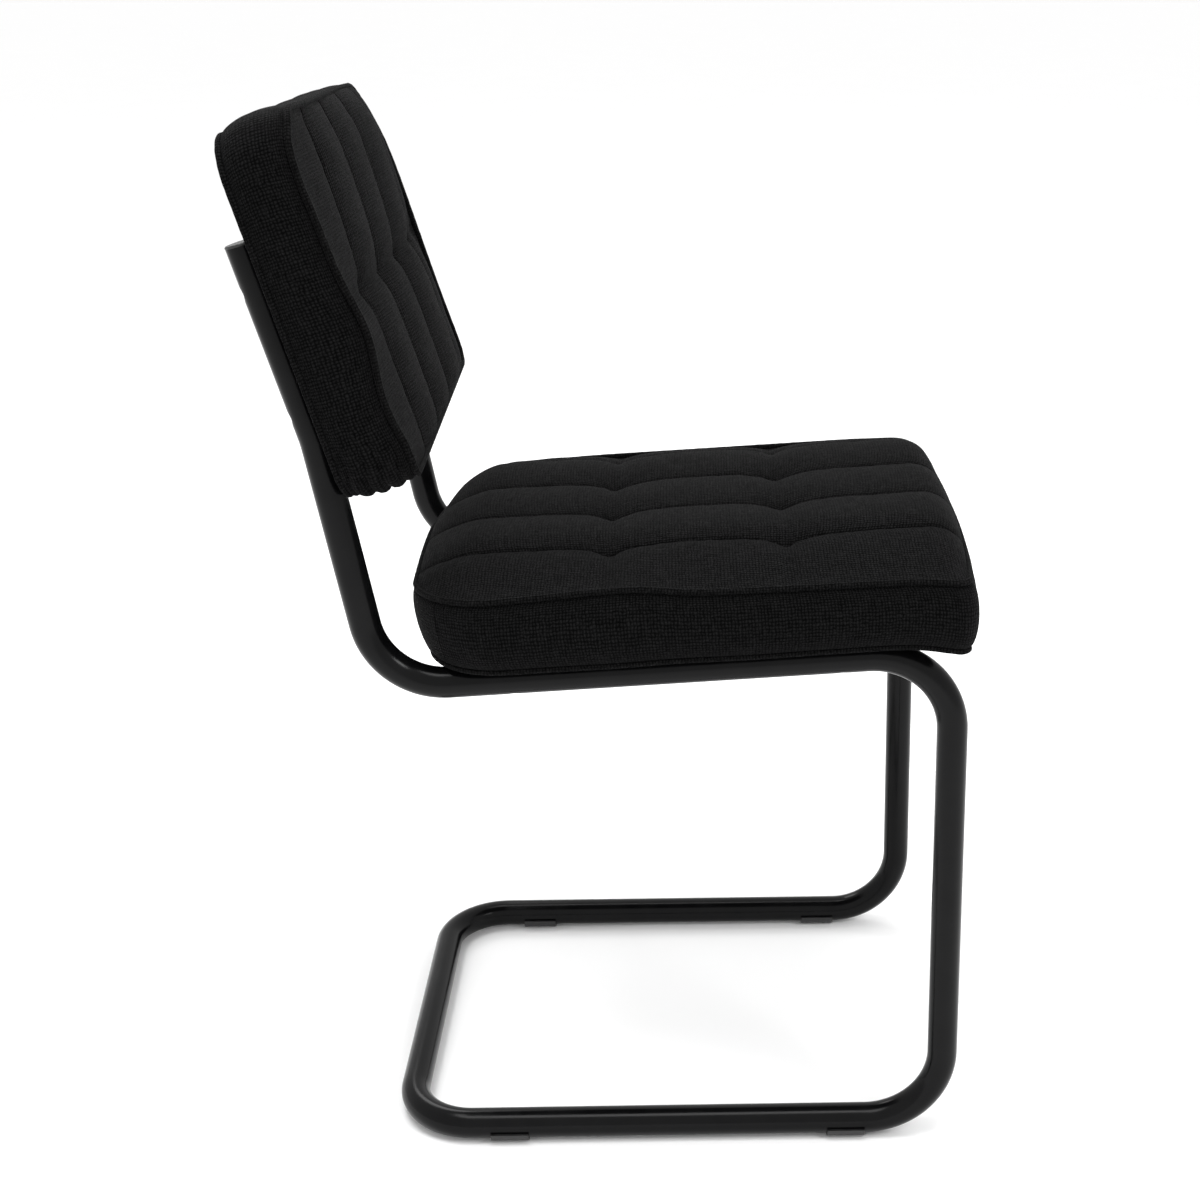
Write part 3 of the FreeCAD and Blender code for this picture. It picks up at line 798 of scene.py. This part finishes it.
    def unrolled(self, x: Array, y: Array, z: Array) -> Array:
        """Places on the flat cloth: the length along the surface, across and along, from the
        middle of each row and column."""
        across = np.hypot(np.diff(x, axis=1), np.diff(z, axis=1))
        along = np.hypot(np.diff(y, axis=0), np.diff(z, axis=0))
        across = np.pad(np.cumsum(across, axis=1), ((0, 0), (1, 0)))
        along = np.pad(np.cumsum(along, axis=0), ((1, 0), (0, 0)))
        across = across - across[:, [across.shape[1] // 2]]
        along = along - along[[along.shape[0] // 2]]
        return np.stack([across, along], axis=2)

    def cover(self) -> bpy.types.Object:
        """The sewn cover as one closed piece: crown, side band and flat hem."""
        parts = MeshParts()
        grid_x, grid_y = np.meshgrid(self.columns(), self.rows())
        x, y = self.plan(grid_x, grid_y, self.upper_tuck)
        z = self.top_height(x, y)
        top = parts.add_points(self.place.world(x, y, z))
        parts.add_grid(top, self.unrolled(x, y, z) * MM)
        ring_x, ring_y = self.ring(grid_x), self.ring(grid_y)
        edge_x, edge_y, edge_z = self.ring(x), self.ring(y), self.ring(z)
        run = run_of(edge_x, edge_y)
        low = self.lower_line(edge_x, edge_y)
        share = eased(np.linspace(0, 1, self.band_steps + 1)[1:, None], 0.6)
        inset = self.band_inset(share)
        fold = self.gathers(edge_x[None, :], edge_y[None, :], share)
        fade = np.sin(np.pi * share)
        size, period = self.swell
        swell = fade * waves(run[None, :], period, self.seed + 2) * size
        size, period = self.crease
        crease = fade * waves(run[None, :] + 9 * share, period, self.seed) * size
        inset = inset - fold - swell - crease
        band_x, band_y = self.plan(ring_x[None, :], ring_y[None, :], inset, share)
        band_y = band_y + self.end_tuck(band_y, share)
        band_z = edge_z[None, :] * (1 - share) + low[None, :] * share
        hem_inset = self.lower_tuck + np.array(self.hem_steps)[:, None]
        hem_x, hem_y = self.plan(ring_x[None, :], ring_y[None, :], hem_inset, 1.0)
        hem_y = hem_y + self.end_tuck(hem_y, np.ones(hem_y.shape))
        hem_z = np.full(hem_x.shape, self.hem_bottom)
        pairs = ((band_x, hem_x), (band_y, hem_y), (band_z, hem_z))
        side = self.place.world(*(np.concatenate(pair)[:, :-1] for pair in pairs))
        rest = parts.add_points(side)
        numbers = closed(np.concatenate([self.ring(top)[None, :-1], rest]))
        drop = np.arange(len(numbers)) * self.cloth_row
        cloth = np.stack(np.broadcast_arrays(run[None, :], -drop[:, None]), axis=2) * MM
        parts.add_grid(numbers, cloth)
        parts.add_cap(numbers[-1, :-1])
        return parts.build(self.name + "_cushion")

    def piping(self, level: str) -> bpy.types.Object:
        """A row of piping: a round along its line, its size a little uneven."""
        inset = self.upper_tuck if level == "upper" else self.lower_tuck
        x, y, z = self.piping_line(inset, level)
        path = np.stack([x, y, z], axis=1)[:-1]
        ahead = unit(np.roll(path, -1, axis=0) - np.roll(path, 1, axis=0))
        out = unit(np.cross(ahead, np.array([0.0, 0.0, 1.0])))
        run = run_of(x, y, z)
        size = self.piping_radius * (1 + 0.05 * waves(run[:-1], 11.0, self.seed))
        points = tube_points(path, out, np.cross(out, ahead), size, self.piping_sides)
        points = self.place.world_points(points)
        round_run = np.linspace(0, 2 * np.pi * self.piping_radius, points.shape[1])
        cloth = np.stack(np.broadcast_arrays(run[:, None], round_run[None, :]), axis=2) * MM
        parts = MeshParts()
        parts.add_tube(points, cloth, ring=True)
        return parts.build(f"{self.name}_{level}_piping")

    def stitches(self) -> bpy.types.Object:
        """The tuft ties: over each tuft a short round stitch that bends down into the cover."""
        parts = MeshParts()
        share = np.linspace(0, 1, 13)
        turn = np.pi * share
        for row in self.tuft_rows:
            for x in self.seams:
                top = float(self.top_height(np.array([x]), np.array([row]))[0])
                path = np.stack([
                    np.full(share.shape, x),
                    row - self.stitch_reach * np.cos(turn),
                    top - 2.4 + 3.6 * np.sin(turn) ** 0.6,
                ], axis=1)
                ahead = unit(np.gradient(path, axis=0))
                across = np.broadcast_to(SIDEWAYS, path.shape)
                points = self.place.world_points(
                    tube_points(path, across, np.cross(ahead, across), self.stitch_radius, 10))
                round_run = np.linspace(0, 0.0057, points.shape[1])
                cloth = np.broadcast_arrays(share[:, None] * 0.01, round_run[None, :])
                parts.add_tube(points, np.stack(cloth, axis=2))
        return parts.build(self.name + "_tuft_stitches")

    def lining(self) -> bpy.types.Object:
        """The thin cloth that closes the side towards the frame, tacked near its edge: a
        sheet with slack that sags a little between the tubes and ripples at its border."""
        margin = self.lining_margin
        parts = MeshParts()
        across = np.linspace(-1, 1, 101) * (self.half_width - self.upper_tuck)
        along = self.upper_tuck + np.linspace(0, 1, 101) * (self.length - 2 * self.upper_tuck)
        grid_x, grid_y = np.meshgrid(across, along)
        x, y = self.plan(grid_x, grid_y, np.array(margin), 1.0)
        border = np.clip(self.edge_distance(x, y) - (margin - self.upper_tuck), 0, 40) / 40
        ripple = waves(x + y, 26.0, self.seed) * np.exp(-border * 4) * border
        between = np.clip(1 - (np.abs(x) / 150) ** 4, 0, 1)
        z = 0.95 - border * between * (1.6 + 0.6 * waves(y, 130.0, self.seed)) - 0.25 * ripple
        numbers = parts.add_points(self.place.world(x, y, z))
        parts.add_grid(numbers, np.stack([x, y], axis=2) * MM)
        return parts.build(self.name + "_lining")

    def lining_size(self) -> tuple:
        """Width and length that the lining is cut to."""
        margin = 2 * self.lining_margin
        return 2 * self.half_width - margin, self.length - margin + self.bow


@dataclass
class SeatCushion(BoxCushion):
    """The seat cushion, along the seat rails from its rear edge.

    Attributes:
        lower_hills: Hills of the lower piping's line along the sides.
    """

    lower_hills: tuple = ((0.8, 250.0, 120.0), (-7.0, 424.0, 34.0))

    def edge_height(self, x: Array, y: Array) -> Array:
        """The upper piping lies level at about 55 mm, rises in one slow wave behind the
        middle of the right side, and drops along the front and at the far rear corner."""
        right = self.right_share(x)
        behind = y - 168.0
        reach = np.where(behind > 0, 36.0, 75.0)
        wave = 5.5 * bell(behind, reach) * right**2
        slope = 3.5 * right * np.clip(1 - (y - 60.0) / 300.0, 0, 1)
        base = 53.5 + 2.5 * right + slope
        far = np.clip(x / self.half_width, 0, 1)
        rear = 13.0 * far * bell(y, 60.0)
        return base + wave - rear - 4.5 * bell(self.length - y, 30.0)

    def lower_line(self, x: Array, y: Array) -> Array:
        """The lower piping rises a little in the middle of the sides and hangs at the front."""
        level = self.lower_level + 0.8 * waves(y + x, 150.0, self.seed)
        return hills(y, level, self.lower_hills)


@dataclass
class BackCushion(BoxCushion):
    """The back cushion, up the upper uprights from its lower edge.

    Attributes:
        near_level: Height of the front piping at the right side, with near_hills on it.
        far_level: The same at the left side, with far_hills.
        right_lift: How far the right top corner stands up; left_drop is the left one's drop.
        lobes: Number of folds at the lower corners, with their lobe_size.
    """

    near_level: float = 50.5
    near_hills: tuple = (
        (6.5, 114.0, 34.0), (5.5, 22.0, 26.0), (-1.5, 225.0, 22.0), (4.0, 271.0, 14.0))
    far_level: float = 40.0
    far_hills: tuple = ((2.0, 0.0, 60.0), (-7.0, 271.0, 50.0))
    right_lift: float = 7.0
    left_drop: float = 3.0
    lobes: float = 4.3
    lobe_size: float = 6.5

    def edge_height(self, x: Array, y: Array) -> Array:
        """The front piping stands at about 50 mm in slow waves on the right side, at about
        40 mm on the left side, and least at the left side's upper end."""
        right = self.right_share(x)
        near = hills(y, self.near_level, self.near_hills)
        far = hills(y, self.far_level, self.far_hills)
        return far * (1 - right) + near * right

    def top_end(self, x: Array) -> Array:
        """The bow, the right top corner's small lift and the left one's small drop."""
        right = np.clip(-x / self.half_width, 0, 1)
        left = np.clip(x / self.half_width, 0, 1)
        return super().top_end(x) + self.right_lift * right**2 - self.left_drop * left**2

    def gathers(self, x: Array, y: Array, share: Array) -> Array:
        """Deep folds of the side band round the lower corners: sharp creases between round
        lobes, which run along the cushion's edge and bulge below it."""
        reach = bell(np.maximum(y, 0), 36.0) * np.clip(np.abs(x) / 120.0 - 0.5, 0, 1)
        drift = 0.05 * waves(y + x, 40.0, self.seed)
        lobes = np.abs(np.sin(np.pi * (self.lobes * (share + drift) + 0.25))) ** 0.55 - 0.45
        fade = np.sin(np.pi * np.clip(share, 0, 1)) ** 0.4
        return self.lobe_size * reach * lobes * fade


# Frame


@dataclass
class TubeFrame:
    """The bent tube frame, in millimetres, from the corners of its centre line.

    Attributes:
        shift: World Y of the front floor corner.
        bend_radii: Radii of the bends, from the upright's kink to the rear bar.
        seat_start: From the rear seat corner along the rail to the cushion's rear edge.
        back_drop: From the kink down to the back cushion's lower edge.
        seat_screws: Places of the screws along the seat cushion; back_screws along the back.
        screw_hole: Radius and both ends of the holes; driver_hole of the wide ones behind.
        sides: Points round the tube.
        arc_step: Length of a step along a bend; run_step along a straight.
    """

    shift: float
    tube_radius: float = 12.0
    wall: float = 2.0
    side_x: float = 170.0
    floor_z: float = 13.5
    floor_rail: float = 441.0
    leg_height: float = 416.0
    leg_setback: float = 3.0
    rail_run: float = 435.0
    seat_slope: float = 3.2
    lower_height: float = 194.0
    lower_lean: float = 10.3
    upper_length: float = 148.0
    upper_lean: float = 16.3
    bend_radii: tuple = (73.0, 58.5, 62.5, 62.5, 54.0)
    seat_start: float = 26.0
    back_drop: float = 46.0
    seat_screws: tuple = (74.0, 323.0)
    back_screws: tuple = (67.0, 161.0)
    screw_hole: tuple = (3.3, -12.0, 14.0)
    driver_hole: tuple = (7.0, -12.0, -38.0)
    sides: int = 56
    arc_step: float = 3.2
    run_step: float = 12.0

    def corner(self, name: str) -> Array:
        """A corner of the centre line in the side view: world Y and Z."""
        top = np.array([-self.leg_setback, self.floor_z + self.leg_height])
        rear = top - [self.rail_run, self.rail_run * math.tan(math.radians(self.seat_slope))]
        back = self.lower_height * math.tan(math.radians(self.lower_lean))
        kink = rear + [-back, self.lower_height]
        lean = math.radians(self.upper_lean)
        end = kink + self.upper_length * np.array([-math.sin(lean), math.cos(lean)])
        points = {
            "front_floor": np.array([0.0, self.floor_z]),
            "rear_floor": np.array([-self.floor_rail, self.floor_z]),
            "front_top": top,
            "rear_seat": rear,
            "kink": kink,
            "end": end,
        }
        forward, height = points[name]
        return np.array([-forward + self.shift, height])

    def seat_place(self) -> Place:
        """The seat cushion's frame: on the rails' top, under the cushion's rear edge."""
        slope = math.radians(self.seat_slope)
        along = np.array([0.0, -math.cos(slope), math.sin(slope)])
        up = np.array([0.0, math.sin(slope), math.cos(slope)])
        start = np.array([0.0, *self.corner("rear_seat")])
        return Place(start + along * self.seat_start + up * self.tube_radius, along, up)

    def back_place(self) -> Place:
        """The back cushion's frame: on the uprights' front, at its lower edge."""
        lean = math.radians(self.upper_lean)
        along = np.array([0.0, math.sin(lean), math.cos(lean)])
        out = np.array([0.0, -math.cos(lean), math.sin(lean)])
        start = np.array([0.0, *self.corner("kink")])
        return Place(start - along * self.back_drop + out * self.tube_radius, along, out)

    def centre_line(self, side: Side) -> Array:
        """Centre line of one half: straight runs joined by tangent arcs.

        Args:
            side: Which half.

        Returns:
            Points in order from the top of the upright to the middle of the rear bar.
        """
        x = self.side_x * side.value
        names = ("end", "kink", "rear_seat", "front_top", "front_floor", "rear_floor")
        points = [np.array([x, *self.corner(name)]) for name in names]
        points.append(np.array([0.0, *self.corner("rear_floor")]))
        line = []
        start = points[0]
        for index, radius in enumerate(self.bend_radii, start=1):
            corner = points[index]
            into = unit(corner - points[index - 1])
            out = unit(points[index + 1] - corner)
            half_turn = math.acos(float(np.clip(into @ out, -1, 1))) / 2
            reach = radius * math.tan(half_turn)
            first = corner - into * reach
            count = max(int(np.linalg.norm(first - start) / self.run_step), 1)
            share = np.linspace(0, 1, count, endpoint=False)[:, None]
            line.append(start + (first - start) * share)
            centre = corner + unit(out - into) * radius / math.cos(half_turn)
            count = max(int(2 * half_turn * radius / self.arc_step), 4)
            angle = np.linspace(0, 2 * half_turn, count, endpoint=False)[:, None]
            spoke = first - centre
            line.append(centre + spoke * np.cos(angle) + into * radius * np.sin(angle))
            start = corner + out * reach
        count = int(np.linalg.norm(points[-1] - start) / self.run_step)
        line.append(start + (points[-1] - start) * np.linspace(0, 1, count + 1)[:, None])
        return np.concatenate(line)

    def half(self, side: Side) -> bpy.types.Object:
        """One half as a hollow tube: the outer and inner walls are swept circles, and flat
        rings join them at both ends."""
        path = self.centre_line(side)
        ahead = unit(np.gradient(path, axis=0))
        on_floor = (np.abs(ahead[:, 2]) < 1e-6) & (path[:, 2] < self.floor_z + 1e-6)
        level = np.stack([-ahead[:, 1], ahead[:, 0], 0 * ahead[:, 0]], axis=1)
        sign = np.sign(level[on_floor][0, 0])
        across = np.where(on_floor[:, None], level * sign, SIDEWAYS)
        across = unit(across - ahead * np.sum(across * ahead, axis=1, keepdims=True))
        up = np.cross(ahead, across)
        parts = MeshParts()
        grids = []
        for radius in (self.tube_radius, self.tube_radius - self.wall):
            points = tube_points(path, across, up, radius, self.sides) * MM
            grids.append(closed(parts.add_points(points[:, :-1])))
        outer, inner = grids
        flat = np.zeros((*outer.shape, 2))
        parts.add_grid(outer, flat)
        parts.add_grid(inner[::-1], flat)
        ring = np.zeros((2, outer.shape[1], 2))
        parts.add_grid(np.stack([inner[0], outer[0]]), ring)
        parts.add_grid(np.stack([outer[-1], inner[-1]]), ring)
        tube = parts.build(f"{side.name.lower()}_frame_half")
        self.drill(tube, side)
        return tube

    def drill(self, tube: bpy.types.Object, side: Side) -> None:
        """Cuts the screws' holes: small towards the cushion, wide on the other side."""
        cutters = []
        across = np.broadcast_to(SIDEWAYS, (2, 3))
        x = np.full(2, self.side_x * side.value)
        spots = [(self.seat_place(), spot) for spot in self.seat_screws]
        spots += [(self.back_place(), spot) for spot in self.back_screws]
        for place, spot in spots:
            up = np.broadcast_to(np.cross(place.up, SIDEWAYS), (2, 3))
            for radius, near, far in (self.screw_hole, self.driver_hole):
                line = place.world(x, np.full(2, spot), np.array([near, far]))
                points = tube_points(line, across, up, radius * MM, 32)
                parts = MeshParts()
                parts.add_tube(points, np.zeros((*points.shape[:2], 2)))
                cutters.append(parts.build("cutter"))
        for cutter in cutters:
            repair_normals(cutter)
            hole = tube.modifiers.new("hole", "BOOLEAN")
            hole.operation = "DIFFERENCE"
            hole.solver = "EXACT"
            hole.object = cutter
        bake_modifiers(tube)
        for cutter in cutters:
            bpy.data.objects.remove(cutter)
        tube.data.set_sharp_from_angle(angle=SHARP_ANGLE)


def repair_normals(piece: bpy.types.Object) -> None:
    """Turns all of a piece's faces outwards."""
    work = bmesh.new()
    work.from_mesh(piece.data)
    bmesh.ops.recalc_face_normals(work, faces=work.faces)
    work.to_mesh(piece.data)
    work.free()


def bake_modifiers(piece: bpy.types.Object) -> None:
    """Replaces a piece's mesh by the result of its modifiers."""
    graph = bpy.context.evaluated_depsgraph_get()
    graph.update()
    result = bpy.data.meshes.new_from_object(piece.evaluated_get(graph))
    piece.modifiers.clear()
    piece.data = result


# Stage


@dataclass(frozen=True)
class Lamp:
    """A round soft lamp: its name, place and width in metres, and its power in watts."""

    name: str
    place: tuple
    width: float
    power: float


@dataclass
class Studio:
    """Camera, floor and lights.

    Attributes:
        middle_y: World Y of the line that the photograph was taken along, in millimetres.
        place: The camera's place in metres, its Y from that line.
        turn: Its yaw, pitch and roll from a level look along X, in radians.
        focus: Its focal length, in the photograph's pixels.
        centre: Where its axis meets the photograph, in pixels.
        picture: The photograph's width and height.
        lamps: The soft lamps, the strongest overhead.
    """

    middle_y: float
    place: tuple = (-1.44492, -0.000025, 0.9463)
    turn: tuple = (0.016626, -0.319591, -0.004846)
    focus: float = 1814.318
    centre: tuple = (716.137, 533.859)
    picture: tuple = (1200.0, 1199.0)
    sensor: float = 36.0
    floor_reach: float = 60.0
    lamps: tuple = (
        Lamp("top", (-0.3, 0.1, 3.2), 2.2, 70.0),
        Lamp("key", (-1.6, -1.9, 2.4), 0.9, 25.0),
        Lamp("edge", (1.9, 0.9, 2.2), 1.0, 14.0),
    )

    def camera(self) -> None:
        """The photograph's camera: its place and aim, in metres, and a shifted lens."""
        yaw, pitch, roll = self.turn
        aim = np.array([
            math.cos(pitch) * math.cos(yaw),
            -math.cos(pitch) * math.sin(yaw),
            math.sin(pitch),
        ])
        right = unit(np.array([aim[1], -aim[0], 0.0]))
        up = np.cross(right, aim)
        turned_right = math.cos(roll) * right + math.sin(roll) * up
        turned_up = math.cos(roll) * up - math.sin(roll) * right
        data = bpy.data.cameras.new("camera")
        camera = placed("camera", data)
        matrix = np.eye(4)
        matrix[:3, 0] = turned_right
        matrix[:3, 1] = turned_up
        matrix[:3, 2] = -aim
        matrix[:3, 3] = self.place
        matrix[1, 3] += self.middle_y * MM
        camera.matrix_world = matrix.T.tolist()
        width, height = self.picture
        data.sensor_width = self.sensor
        data.lens = self.focus * self.sensor / width
        data.shift_x = (width / 2 - self.centre[0]) / width
        data.shift_y = (self.centre[1] - height / 2) / width
        data.dof.use_dof = False
        bpy.context.scene.camera = camera

    def floor(self) -> None:
        """A plain pale floor."""
        graph = Graph("floor")
        place = graph.add("TexCoord").outputs["Object"]
        cloud = graph.noise(place, 3.0, 2.0)
        graph.dress({
            "Base Color": graph.ramp(cloud, (0.985, 0.985, 0.985), (1.0, 1.0, 1.0)),
            "Roughness": 0.9,
            "Specular IOR Level": 0.1,
        })
        parts = MeshParts()
        edge = np.linspace(-self.floor_reach, self.floor_reach, 3)
        x, y = np.meshgrid(edge, edge)
        numbers = parts.add_points(np.stack([x, y, 0 * x - 0.0002], axis=2))
        parts.add_grid(numbers, np.stack([x, y], axis=2))
        floor = parts.build("floor")
        floor.data.materials.append(graph.material)

    def lights(self) -> None:
        """A white surround and the wide soft lamps, which look at the middle of the chair."""
        bpy.context.scene.view_settings.view_transform = "Standard"
        world = bpy.data.worlds.new("surround")
        bpy.context.scene.world = world
        world.use_nodes = True
        background = world.node_tree.nodes["Background"]
        background.inputs["Color"].default_value = (1.0, 1.0, 1.0, 1.0)
        background.inputs["Strength"].default_value = 1.0
        for lamp in self.lamps:
            data = bpy.data.lights.new(lamp.name, "AREA")
            data.shape = "DISK"
            data.size = lamp.width
            data.energy = lamp.power
            piece = placed(lamp.name, data)
            piece.location = lamp.place
            aim = Vector((0.0, 0.0, 0.4)) - Vector(lamp.place)
            piece.rotation_euler = aim.to_track_quat("-Z", "Y").to_euler()


def show(piece: bpy.types.Object, material: bpy.types.Material, slot: str, *nodes: str) -> None:
    """Dresses a new piece, lets it ride on the chair and hides the nodes that it stands for.

    Args:
        piece: The new piece.
        material: Its finish.
        slot: The record's material slot; not used.
        nodes: The CAD nodes that it replaces.
    """
    piece.data.materials.clear()
    piece.data.materials.append(material)
    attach(piece, "root")
    if nodes:
        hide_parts(*nodes)
    LOG.info("%s: %d faces", piece.name, len(piece.data.polygons))


def dress(node: str, material: bpy.types.Material) -> None:
    """Gives a CAD node its finish."""
    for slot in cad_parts[node].material_slots:
        slot.material = material


def main() -> None:
    """Builds every piece in order and reports it."""
    logging.basicConfig(level=logging.INFO, format="%(message)s")
    low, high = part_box("right_front_glide")
    shift = (low.y + high.y) / 2 / MM - FRONT_GLIDE_PLACE
    paint = POWDER_COAT.build()
    fabric = WovenFabric().build()
    plastic = MOULDED_PLASTIC.build()
    lining = LiningCloth().build()
    twine = TWINE.build()
    plywood = PLYWOOD.build()
    zinc = ZINC_PLATE.build()
    black_steel = BLACK_STEEL.build()

    tubes = TubeFrame(shift)
    for side in Side:
        name = side.name.lower()
        show(tubes.half(side), paint, "frame_paint", name + "_frame_tube")
        for node in ("_upright_cap", "_front_glide", "_rear_glide"):
            dress(name + node, plastic)
    dress("frame_joint_sleeve", zinc)

    seat = SeatCushion(
        "seat", tubes.seat_place(), half_width=205.0, length=424.0, bow=12.0, low_corner=70.0,
        high_corner=17.0, upper_tuck=6.0, lower_tuck=8.0, seam_height=74.5, puff=6.5,
        tuft_depth=12.0, crest_dip=6.0, pull_reach=15.0, shoulders=(78.0, 32.0, 26.0),
        tuft_rows=(152.0, 288.0), lower_level=3.9, end_tucks=(5.0, 0.0), tuck_powers=(1.6, 1.0),
        seed=1.3, skew=0.02, left_round=(30.0, 14.0), low_bow=8.0)
    back = BackCushion(
        "back", tubes.back_place(), half_width=203.0, length=271.0, bow=3.0, low_corner=24.0,
        high_corner=36.0, upper_tuck=4.0, lower_tuck=3.0, seam_height=49.5, puff=7.5,
        tuft_depth=9.5, crest_dip=7.0, pull_reach=16.0, shoulders=(24.0, 34.0, 56.0),
        tuft_rows=(134.0,), lower_level=1.2, end_tucks=(0.0, 6.0), tuck_powers=(1.0, 5.0),
        seed=2.1, side_puff=0.0, left_round=(0.0, 26.0))
    for cushion in (seat, back):
        name = cushion.name
        cover = cushion.cover()
        show(cover, fabric, "woven_fabric", name + "_cover", name + "_foam")
        for level in ("upper", "lower"):
            piping = cushion.piping(level)
            show(piping, fabric, "woven_fabric", f"{name}_{level}_piping")
        show(cushion.stitches(), twine, "twine", name + "_tuft_ties")
        cloth = cushion.lining()
        show(cloth, lining, "lining_cloth", name + "_under_cloth")
        flat = cushion.lining_size()
        dress(name + "_board", plywood)
        dress(name + "_screws", black_steel)
        dress(name + "_insert_nuts", zinc)

    studio = Studio(shift + CAMERA_PLACE)
    studio.camera()
    studio.floor()
    studio.lights()


if __name__ == "__main__":
    main()
